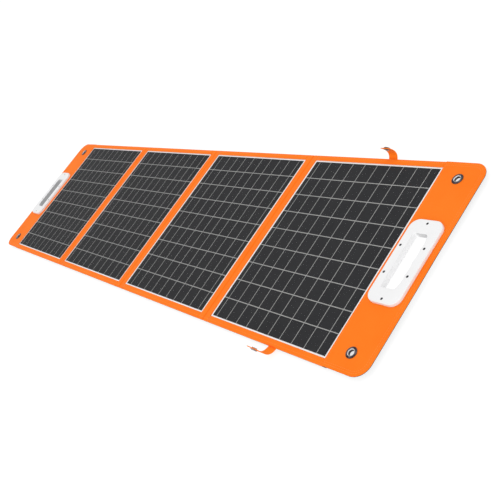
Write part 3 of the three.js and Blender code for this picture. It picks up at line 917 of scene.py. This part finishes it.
def make_cells(panel):
    """Two columns of quarter cells on a dark base, with ribbons along them and pale gaps between rows."""
    lines, body = LAYOUT[panel], f"panel_{panel}"
    low, high = (corner.copy() for corner in lines.cells)
    low.y -= CELL_GROWTH
    high.y += CELL_GROWTH
    bars = busbar_lines(panel, lines)
    rows = [low.y, *row_lines(lines), high.y]
    between = bars[BUSBARS // 2] - BUSBAR_PITCH / 2  # line between the two columns
    columns = [
        (max(low.x, bars[0] - BUSBAR_PITCH / 2), between - COLUMN_GAP / 2),
        (between + COLUMN_GAP / 2, min(high.x, bars[-1] + BUSBAR_PITCH / 2)),
    ]
    bm = bmesh.new()
    slab(bm, low.x, high.x, low.y, high.y, low.z, low.z + CELL_BASE)
    for x0, x1 in columns:
        for y0, y1 in zip(rows, rows[1:]):
            start = y0 + (ROW_GAP / 2 if y0 > low.y else 0.3 * MM)
            finish = y1 - (ROW_GAP / 2 if y1 < high.y else 0.3 * MM)
            slab(bm, x0, x1, start, finish, low.z + CELL_BASE, high.z - 0.1 * MM, 0.04 * MM)
    obj = finish_mesh(f"{body}_cell_tiles", bm, [CELLS])
    ride_in(obj, body, "cells", f"{body}_cells")

    bm = bmesh.new()
    for x in bars:
        half = BUSBAR_WIDTH / 2
        slab(bm, x - half, x + half, low.y, high.y, high.z - 0.12 * MM, high.z - 0.02 * MM, 0.03 * MM)
    for y in row_lines(lines):
        half = ROW_GAP / 2
        slab(bm, low.x, high.x, y - half, y + half, low.z + CELL_BASE, high.z - 0.12 * MM, 0.02 * MM)
    ribbons = finish_mesh(f"{body}_ribbons", bm, [RIBBON])
    ride_in(ribbons, body, "cells")
    dress(f"{body}_board", BOARD)
    dress(f"{body}_backsheet", WHITE_SHEET)
    dress(f"{body}_film", FILM)


# ------ handles and grommets


HANDLE_HALVES = (("front", 1.7 * MM, 0.0), ("rear", 0.2 * MM, 1.2 * MM))  # upper and lower edge radius
SCREW_SEAT = SimpleNamespace(radius=2.6 * MM, depth=2.1 * MM, lip=0.25 * MM, inset=0.2 * MM)
SCREW_HEAD = SimpleNamespace(radius=2.25 * MM, height=1.8 * MM, dome=0.5 * MM)
CROSS_RECESS = SimpleNamespace(depth=1.3 * MM, arm=1.3 * MM, half_width=0.34 * MM)
SCREW_RISE = 0.4 * MM  # the head's crown stands above its CAD solid, and still below the handle's face
EYELET = SimpleNamespace(bore=4.7 * MM, barrel=5.5 * MM, crown=1.4 * MM)


def make_handle(end):
    """Front and rear halves with smooth rims, and a collar that lines the slot through the fabric."""
    body = f"panel_{ENDS[end][0]}"
    for half, upper, lower in HANDLE_HALVES:
        low, high = box(f"{end}_handle_{half}")
        outline = rounded_outline(low.x, high.x, low.y, high.y, HANDLE_CORNER, 14)
        bm = bmesh.new()
        plate(bm, outline, [slot_at(end)], rim_profile(low.z, high.z, upper, 5, lower))
        if half == "front":
            cut_screw_seats(bm, end, high.z)
        paint_slot_shade(bm, middle_of(f"{end}_handle_front"))
        # the second material paints shade on the slot's walls
        obj = finish_mesh(f"{end}_handle_{half}_shell", bm, [HANDLE, SLOT_PAINTED_SHADE], 40)
        ride_in(obj, body, "handle_plastic", f"{end}_handle_{half}")

    low = box(f"{end}_handle_rear")[1].z - 0.3 * MM
    high = box(f"{end}_handle_front")[0].z + 0.3 * MM
    outer, inner = slot_at(end, CLOTH_HOLE_GAP * 0.8), slot_at(end, 0.05 * MM)
    bm = bmesh.new()
    plate(bm, outer, [inner], [(0, low), (0, high)])
    # the collar's walls take the painted slot shade too
    ride_in(finish_mesh(f"{end}_handle_collar", bm, [SLOT_PAINTED_SHADE]), body, "handle_plastic")


def paint_slot_shade(bm, middle):
    """Gives the upright walls of a handle's finger slot the second material, which paints shade on them."""
    bm.normal_update()
    for face in bm.faces:
        centre = face.calc_center_median()
        across = abs(centre.x - middle.x) < SLOT.width / 2 + 0.1 * MM
        if across and abs(centre.y - middle.y) < SLOT.depth / 2 and abs(face.normal.z) < 0.5:
            face.material_index = 1


def cut_screw_seats(bm, end, top):
    """Opens the handle's flat top at each screw and lets in a round seat."""
    upper = [face for face in bm.faces if all(abs(v.co.z - top) < 1e-7 for v in face.verts)]
    edges = [edge for edge in bm.edges if sum(face in upper for face in edge.link_faces) == 1]
    bmesh.ops.delete(bm, geom=upper, context="FACES_ONLY")
    bmesh.ops.delete(bm, geom=[edge for edge in bm.edges if not edge.link_faces], context="EDGES")
    for x, y, _ in handle_screws(end):
        seat = circle_outline((x, y), SCREW_SEAT.radius, 24)
        inner = inset_loop(seat, SCREW_SEAT.inset)
        rim = new_ring(bm, seat, top)
        lip = new_ring(bm, inner, top - SCREW_SEAT.lip)
        floor = new_ring(bm, inner, top - SCREW_SEAT.depth)
        join_rings(bm, [floor, lip, rim])
        bm.faces.new(floor)
        edges += loop_edges(bm, rim)
    fill_between(bm, edges)


def handle_screws(end):
    """Place of each screw's axis, and the height of its head's top."""
    nodes = [f"{end}_handle_screw_{number}" for number in range(1, 7)]
    return [(*middle_of(node).xy, box(node)[1].z + SCREW_RISE) for node in nodes]


def cross_outline(x, y, arm, half, turn):
    """A cross with equal arms, anticlockwise."""
    corners = [(arm, -half), (arm, half), (half, half), (half, arm), (-half, arm), (-half, half)]
    corners += [(-arm, half), (-arm, -half), (-half, -half), (-half, -arm), (half, -arm), (half, -half)]
    c, s = math.cos(turn), math.sin(turn)
    return [(x + c * a - s * b, y + s * a + c * b) for a, b in corners]


def make_screws(end):
    """Domed pan heads with a cross recess."""
    for number, (x, y, top) in enumerate(handle_screws(end), 1):
        head = circle_outline((x, y), SCREW_HEAD.radius, 24)
        recess = cross_outline(x, y, CROSS_RECESS.arm, CROSS_RECESS.half_width, 0.5 * number)
        shoulder = top - SCREW_HEAD.dome
        bm = bmesh.new()
        plate(bm, head, [recess], [(0, top - SCREW_HEAD.height), (0, shoulder)])
        centre = Vector((x, y))
        for vert in bm.verts:
            if abs(vert.co.z - shoulder) < 1e-7:
                away = (vert.co.xy - centre).length / SCREW_HEAD.radius
                vert.co.z = top - SCREW_HEAD.dome * away * away
        bm.faces.new(new_ring(bm, recess, top - CROSS_RECESS.depth))
        obj = finish_mesh(f"{end}_screw_{number}_head", bm, [SCREW], 30)
        ride_in(obj, f"panel_{ENDS[end][0]}", "screw_steel", f"{end}_handle_screw_{number}")


def paint_eyelet_highlight(bm, eye, low, high):
    """Gives the inner slope of an eyelet's crown the second material, a brighter copy of the metal that
    paints a highlight there.
    """
    for face in bm.faces:
        middle = face.calc_center_median()
        if low < math.hypot(middle.x - eye.x, middle.y - eye.y) < high:
            face.material_index = 1


def make_grommets(end):
    """Eyelets with a rolled crown in front, and their washers behind."""
    body = f"panel_{ENDS[end][0]}"
    bore, barrel = EYELET.bore, EYELET.barrel
    for number, eye in enumerate(grommet_middles(end), 1):
        low, high = box(f"{end}_grommet_eyelet_{number}")
        flange = (high.x - low.x) / 2
        seat = high.z - EYELET.crown
        profile = [(bore, low.z), (barrel, low.z), (barrel, seat)]
        profile += [(flange, seat), (flange + 0.02 * MM, seat + 0.25 * MM)]
        crown = (flange + barrel) / 2
        half = (flange - barrel) / 2 + 0.3 * MM
        for angle in range(20, 181, 16):
            turn = math.radians(angle)
            profile.append((crown + half * math.cos(turn), seat + 0.25 * MM + 1.15 * MM * math.sin(turn)))
        profile += [(bore + 0.25 * MM, seat - 0.3 * MM), (bore, seat - 0.9 * MM), (bore, low.z)]
        bm = bmesh.new()
        turned(bm, eye, profile, 56)
        # painted highlight on the crown's inner slope
        paint_eyelet_highlight(bm, eye, bore + 0.4 * MM, crown - 0.9 * MM)
        obj = finish_mesh(f"{end}_eyelet_{number}_ring", bm, [NICKEL_PAINTED_REFLECTIONS, EYELET_PAINTED_HIGHLIGHT], 50)
        ride_in(obj, body, "nickel", f"{end}_grommet_eyelet_{number}")

        low, high = box(f"{end}_grommet_washer_{number}")
        outer = (high.x - low.x) / 2
        profile = [(EYE_HOLE, low.z + 0.15 * MM), (6.1 * MM, low.z), (outer - 1.2 * MM, low.z)]
        profile += [(outer - 0.3 * MM, low.z + 0.3 * MM), (outer, low.z + 0.7 * MM), (outer, high.z)]
        profile += [(EYE_HOLE, high.z), (EYE_HOLE, low.z + 0.15 * MM)]
        bm = bmesh.new()
        turned(bm, eye, profile, 48)
        obj = finish_mesh(f"{end}_washer_{number}_ring", bm, [NICKEL_PAINTED_REFLECTIONS], 50)
        ride_in(obj, body, "nickel", f"{end}_grommet_washer_{number}")


# ------ closure straps

# Centre lines of the straps in their own plane, outwards from the panel's edge and then up
STRAPS = {
    "far": {
        "side": 1,
        "line": [(0, 0), (4.8, 4.4), (7.4, 10), (7, 17.5), (3.6, 26), (0, 32)],
        "lean": (0.7, 0.7),
    },
    "near": {
        "side": -1,
        "line": [(0, 0), (6, 1.6), (12, 5), (16.5, 12), (19.5, 25), (22.5, 39.5)],
        "lean": (0.97, 0.26),
    },
}
STRAP_THICKNESS = 1.5 * MM
STRAP_COLUMNS = 16
STRAP_RIBS = 5
TIP_WIDTHS = {0: 0.9, 1: 0.97}  # share of the full width, by rows from the tip


def strap_base(label):
    """Where the strap leaves the panel: its joint's place."""
    return next(Vector(j["pos_m"]) for j in frame["joints"] if j["name"] == f"{label}_strap_bend")


def smooth_line(points, steps=6):
    """A smooth line through points, by curves whose handles follow the neighbours."""
    vectors = [Vector((0, a, b)) for a, b in points]
    made = []
    for index in range(len(vectors) - 1):
        before = vectors[max(index - 1, 0)]
        start, end = vectors[index], vectors[index + 1]
        after = vectors[min(index + 2, len(vectors) - 1)]
        handles = (start + (end - before) / 6, end - (after - start) / 6)
        piece = interpolate_bezier(start, *handles, end, steps + 1)
        made += piece if index == len(vectors) - 2 else piece[:-1]
    return [(p.y, p.z) for p in made]


def make_strap(label):
    """Ribbed webbing that bends out of the panel's seam, with a rounded tip and a press fastener."""
    strap = STRAPS[label]
    side = strap["side"]
    base = strap_base(label)
    low, high = box(f"{label}_strap")
    # the webbing starts inside the seam; its line is laid from the joint's place
    line = [(-9, 0.1), (-3, 0), *strap["line"]]
    points = smooth_line([(a * MM, b * MM) for a, b in line])
    bm = bmesh.new()
    rows = []
    last = len(points) - 1
    for index, (out, up) in enumerate(points):
        before, after = points[max(index - 1, 0)], points[min(index + 1, last)]
        along = Vector((0, after[0] - before[0], after[1] - before[1])).normalized()
        normal = Vector((0, -along.z, along.y))
        row = []
        width = (high.x - low.x) * TIP_WIDTHS.get(last - index, 1.0)
        for share in spread(-0.5, 0.5, STRAP_COLUMNS):
            rib = 0.12 * MM * math.cos(share * 2 * math.pi * STRAP_RIBS)
            place = Vector((share * width, out, up)) + normal * (STRAP_THICKNESS / 2 + rib * 0.5)
            row.append(bm.verts.new((base.x + place.x, base.y + side * place.y, base.z + place.z)))
        rows.append(row)
    join_rows(bm, rows)
    obj = finish_mesh(f"{label}_strap_webbing", bm, [WEBBING], 60)
    # the webbing's thickness grows away from the panel's middle line
    faces = obj.data.polygons
    if faces[len(faces) // 2].normal.y * side > 0:
        obj.data.flip_normals()
    thicken(obj, STRAP_THICKNESS * 0.85)
    bevel = obj.modifiers.new("edge", "BEVEL")
    bevel.width = 0.25 * MM
    bevel.segments = 2
    bevel.limit_method = "ANGLE"
    apply_modifiers(obj)
    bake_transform(obj)
    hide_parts(f"{label}_strap")
    ease_edges(dress(f"{label}_strap_snap", SNAP_PAINTED_GLINTS), 0.3 * MM)


# ------ output box


def make_output_box():
    """Finishes of the moulded box, its sockets and the press studs, eased at the edges."""
    for node, material, ease in (
        ("output_box_housing", BOX, 0.7 * MM),
        ("output_box_lid", BOX, 0.4 * MM),
        ("dc_socket", BOX, 0.2 * MM),
        ("usb_socket", NICKEL_PAINTED_REFLECTIONS, 0.08 * MM),
        ("far_press_stud", NICKEL_PAINTED_REFLECTIONS, 0.2 * MM),
        ("near_press_stud", NICKEL_PAINTED_REFLECTIONS, 0.2 * MM),
    ):
        ease_edges(dress(node, material), ease)


# ------ stage


FLOOR_HALF = 40.0
WORLD_LIGHT = 0.88
LIGHTS = (("key", (-0.6, 0.9, 3.0), 3.2, 12.0), ("fill", (2.4, -2.0, 1.8), 3.0, 26.0))  # place, size, watts


def make_stage():
    bm = bmesh.new()
    bm.faces.new(new_ring(bm, rectangle(-FLOOR_HALF, FLOOR_HALF, -FLOOR_HALF, FLOOR_HALF), 0))
    floor = finish_mesh("floor", bm, [floor_material("pale_floor")])
    world = bpy.data.worlds.new("studio")
    bpy.context.scene.world = world
    world.use_nodes = True
    background = world.node_tree.nodes["Background"]
    background.inputs["Color"].default_value = (1, 1, 1, 1)
    background.inputs["Strength"].default_value = WORLD_LIGHT
    for name, place, size, energy in LIGHTS:
        light = bpy.data.lights.new(name, "AREA")
        light.size = size
        light.energy = energy
        lamp = bpy.data.objects.new(name, light)
        lamp.location = place
        lamp.rotation_mode = "QUATERNION"
        lamp.rotation_quaternion = Vector(place).to_track_quat("Z", "Y")
        bpy.context.scene.collection.objects.link(lamp)


# The camera's place and axes, fitted so that the panels' white lines fall as they do in the photograph
CAMERA_PLACE = (1.5219, -0.4108, 0.7882)
CAMERA_ACROSS = (0.58055, 0.54386, -0.60595)
CAMERA_UP = (-0.13198, 0.79722, 0.58909)
CAMERA_LENS = 54.56


def make_camera():
    data = bpy.data.cameras.new("camera")
    data.lens = CAMERA_LENS
    data.sensor_width = 36
    data.clip_start, data.clip_end = 0.01, 50
    camera = bpy.data.objects.new("camera", data)
    across = Vector(CAMERA_ACROSS).normalized()
    up = Vector(CAMERA_UP)
    up = (up - across * up.dot(across)).normalized()
    back = across.cross(up)
    axes = Matrix((across, up, back)).transposed()
    camera.matrix_world = Matrix.Translation(CAMERA_PLACE) @ axes.to_4x4()
    bpy.context.scene.collection.objects.link(camera)
    bpy.context.scene.camera = camera
    bpy.context.scene.view_settings.view_transform = "Standard"


make_camera()
for panel in PANELS:
    make_cells(panel)
    make_rear(panel)
    for side in (-1, 1):
        make_band(panel, side)
for first, second in FOLDS:
    make_front_strip(first, second)
    make_rear_strip(first, second)
for end in ENDS:
    make_flap_rear(end)
    make_flap_front(end)
    make_flap_stitching(end)
    make_handle(end)
    make_screws(end)
    make_grommets(end)
for label in STRAPS:
    make_strap(label)
make_output_box()
make_stage()

bpy.context.view_layer.update()
